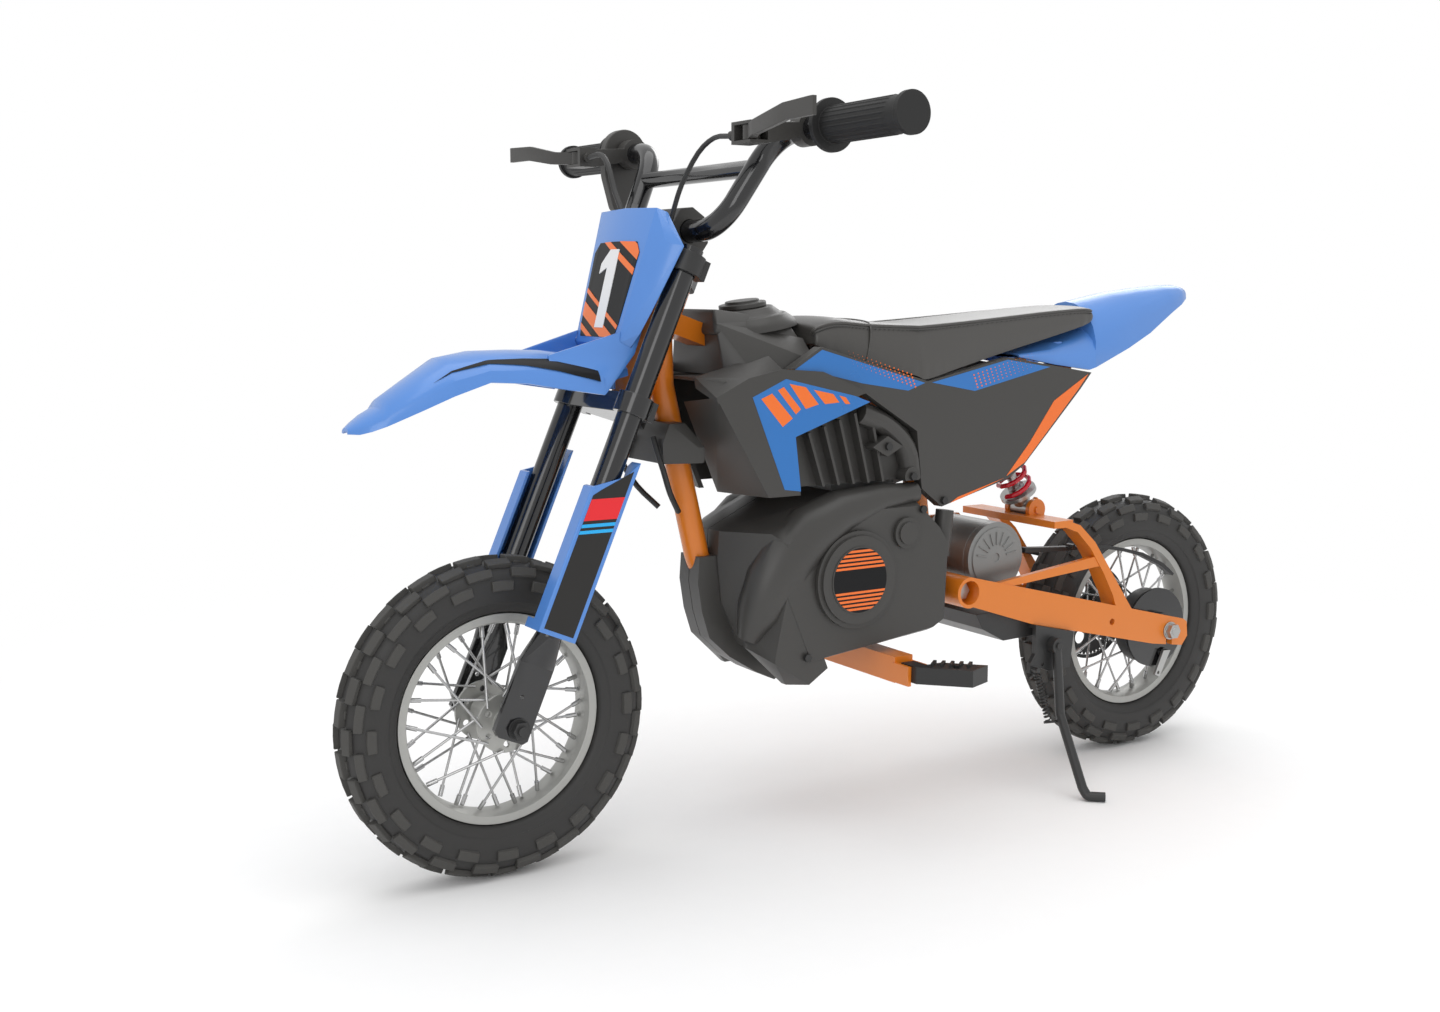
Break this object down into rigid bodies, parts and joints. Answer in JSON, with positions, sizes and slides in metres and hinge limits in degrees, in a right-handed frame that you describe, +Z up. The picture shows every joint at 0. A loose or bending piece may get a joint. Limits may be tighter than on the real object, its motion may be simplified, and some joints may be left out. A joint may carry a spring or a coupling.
{
  "type": "children's electric dirt bike",
  "caption": "Children's electric dirt bike with spoked wheels, rigid fork, twist grip, folding pegs and a sprung swingarm.",
  "frame": {"origin": "on the ground midway between the two axles", "axes": "+X forward, +Y to the rider's left, +Z up"},
  "size_m": [1.1802, 0.6428, 0.7508],
  "materials": {
    "frame_orange": "gloss",
    "black_steel": "gloss",
    "charcoal_plastic": "satin",
    "black_plastic": "satin",
    "blue_plastic": "gloss",
    "seat_cover": "grained",
    "tyre_rubber": "matte",
    "grip_rubber": "ribbed",
    "bright_steel": "brushed",
    "rim_alloy": "satin",
    "motor_alloy": "cast",
    "red_spring": "gloss",
    "cable_black": "satin",
    "dark_steel": "satin"
  },
  "bodies": {
    "frame": {"main_frame": "frame_orange", "head_bearings": "bright_steel", "engine_covers": "charcoal_plastic", "front_cover": "charcoal_plastic", "shroud_left": "charcoal_plastic", "shroud_right": "charcoal_plastic", "side_grilles": "charcoal_plastic", "tank_cover": "charcoal_plastic", "filler_cap": "black_plastic", "side_panel_left": "charcoal_plastic", "side_panel_right": "charcoal_plastic", "seat": "seat_cover", "rear_fender": "blue_plastic", "clutch_cover": "charcoal_plastic", "battery_pack": "black_plastic", "controller": "motor_alloy", "cover_bolts": "dark_steel", "pivot_shaft": "bright_steel", "frame_cables": "cable_black", "shock_body": "dark_steel", "shock_spring": "red_spring"},
    "steering": {"steerer": "black_steel", "top_clamp": "dark_steel", "bar_clamp": "dark_steel", "handlebar": "black_steel", "left_grip": "grip_rubber", "lever_perches": "black_plastic", "throttle_housing": "charcoal_plastic", "number_plate": "blue_plastic", "front_fender": "blue_plastic", "fork_legs": "black_steel", "fork_guards": "blue_plastic", "front_axle": "dark_steel", "bar_cables": "cable_black"},
    "left_lever": {"left_lever": "dark_steel"},
    "right_lever": {"right_lever": "dark_steel"},
    "throttle_grip": {"throttle_grip": "grip_rubber"},
    "front_wheel": {"front_tyre": "tyre_rubber", "front_rim": "rim_alloy", "front_hub": "rim_alloy", "front_spokes": "bright_steel"},
    "swingarm": {"swingarm": "frame_orange", "motor": "motor_alloy", "brake_cover": "black_steel", "motor_mount": "black_steel", "wheel_strip": "black_plastic", "chain": "dark_steel", "rear_axle": "bright_steel", "stand_bracket": "dark_steel"},
    "rear_wheel": {"rear_tyre": "tyre_rubber", "rear_rim": "rim_alloy", "rear_hub": "rim_alloy", "rear_spokes": "bright_steel", "rear_sprocket": "bright_steel"},
    "motor_sprocket": {"motor_sprocket": "bright_steel"},
    "brake_arm": {"brake_arm": "bright_steel"},
    "kickstand": {"kickstand": "dark_steel"},
    "peg_left": {"peg_left": "dark_steel"},
    "peg_right": {"peg_right": "dark_steel"},
    "shock_rod": {"shock_rod": "dark_steel"}
  },
  "joints": [
    {"name": "steering", "type": "hinge", "parent": "frame", "child": "steering", "pos_m": [0.25343, 0, 0.51897], "axis": [-0.3987, 0, 0.9171], "range_deg": [-35, 35]},
    {"name": "front_wheel", "type": "hinge", "parent": "steering", "child": "front_wheel", "pos_m": [0.431, 0, 0.16], "axis": [0, 1, 0], "continuous": true},
    {"name": "left_lever", "type": "hinge", "parent": "steering", "child": "left_lever", "pos_m": [0.243, 0.172, 0.716], "axis": [0, 0, 1], "range_deg": [0, 22], "stiffness_Nm_per_rad": 2, "springref_deg": -5.73},
    {"name": "right_lever", "type": "hinge", "parent": "steering", "child": "right_lever", "pos_m": [0.243, -0.172, 0.716], "axis": [0, 0, -1], "range_deg": [0, 22], "stiffness_Nm_per_rad": 2, "springref_deg": -5.73},
    {"name": "throttle", "type": "hinge", "parent": "steering", "child": "throttle_grip", "pos_m": [0.17686, -0.26, 0.72371], "axis": [-0.0151, -0.9998, 0.0121], "range_deg": [0, 60], "stiffness_Nm_per_rad": 0.5, "springref_deg": -9.74},
    {"name": "swing", "type": "hinge", "parent": "frame", "child": "swingarm", "pos_m": [-0.109, 0, 0.24], "axis": [0, 1, 0], "range_deg": [0, 9], "stiffness_Nm_per_rad": 400, "springref_deg": -9.74},
    {"name": "rear_wheel", "type": "hinge", "parent": "swingarm", "child": "rear_wheel", "pos_m": [-0.431, 0, 0.16], "axis": [0, 1, 0], "continuous": true},
    {"name": "motor_sprocket", "type": "hinge", "parent": "swingarm", "child": "motor_sprocket", "pos_m": [-0.172, -0.05, 0.27], "axis": [0, 1, 0], "continuous": true},
    {"name": "brake_arm", "type": "hinge", "parent": "swingarm", "child": "brake_arm", "pos_m": [-0.445, 0.061, 0.126], "axis": [0, -1, 0], "range_deg": [0, 12.5]},
    {"name": "kickstand", "type": "hinge", "parent": "swingarm", "child": "kickstand", "pos_m": [-0.23, 0.089, 0.168], "axis": [0, 1, 0], "range_deg": [0, 85]},
    {"name": "peg_left", "type": "hinge", "parent": "frame", "child": "peg_left", "pos_m": [0.002, 0.12, 0.173], "axis": [1, 0, 0], "range_deg": [0, 80]},
    {"name": "peg_right", "type": "hinge", "parent": "frame", "child": "peg_right", "pos_m": [0.002, -0.12, 0.173], "axis": [-1, 0, 0], "range_deg": [0, 80]},
    {"name": "shock_slide", "type": "slide", "parent": "frame", "child": "shock_rod", "axis": [0.505, 0, 0.8631], "range_m": [0, 0.0269], "deforming": ["shock_spring"]}
  ],
  "couplings": [
    {"joint": "shock_slide", "follows": "swing", "m_per_rad": 0.1699},
    {"joint": "motor_sprocket", "follows": "rear_wheel", "ratio": 4.9091},
    {"joint": "brake_arm", "follows": "left_lever", "ratio": 0.55}
  ]
}
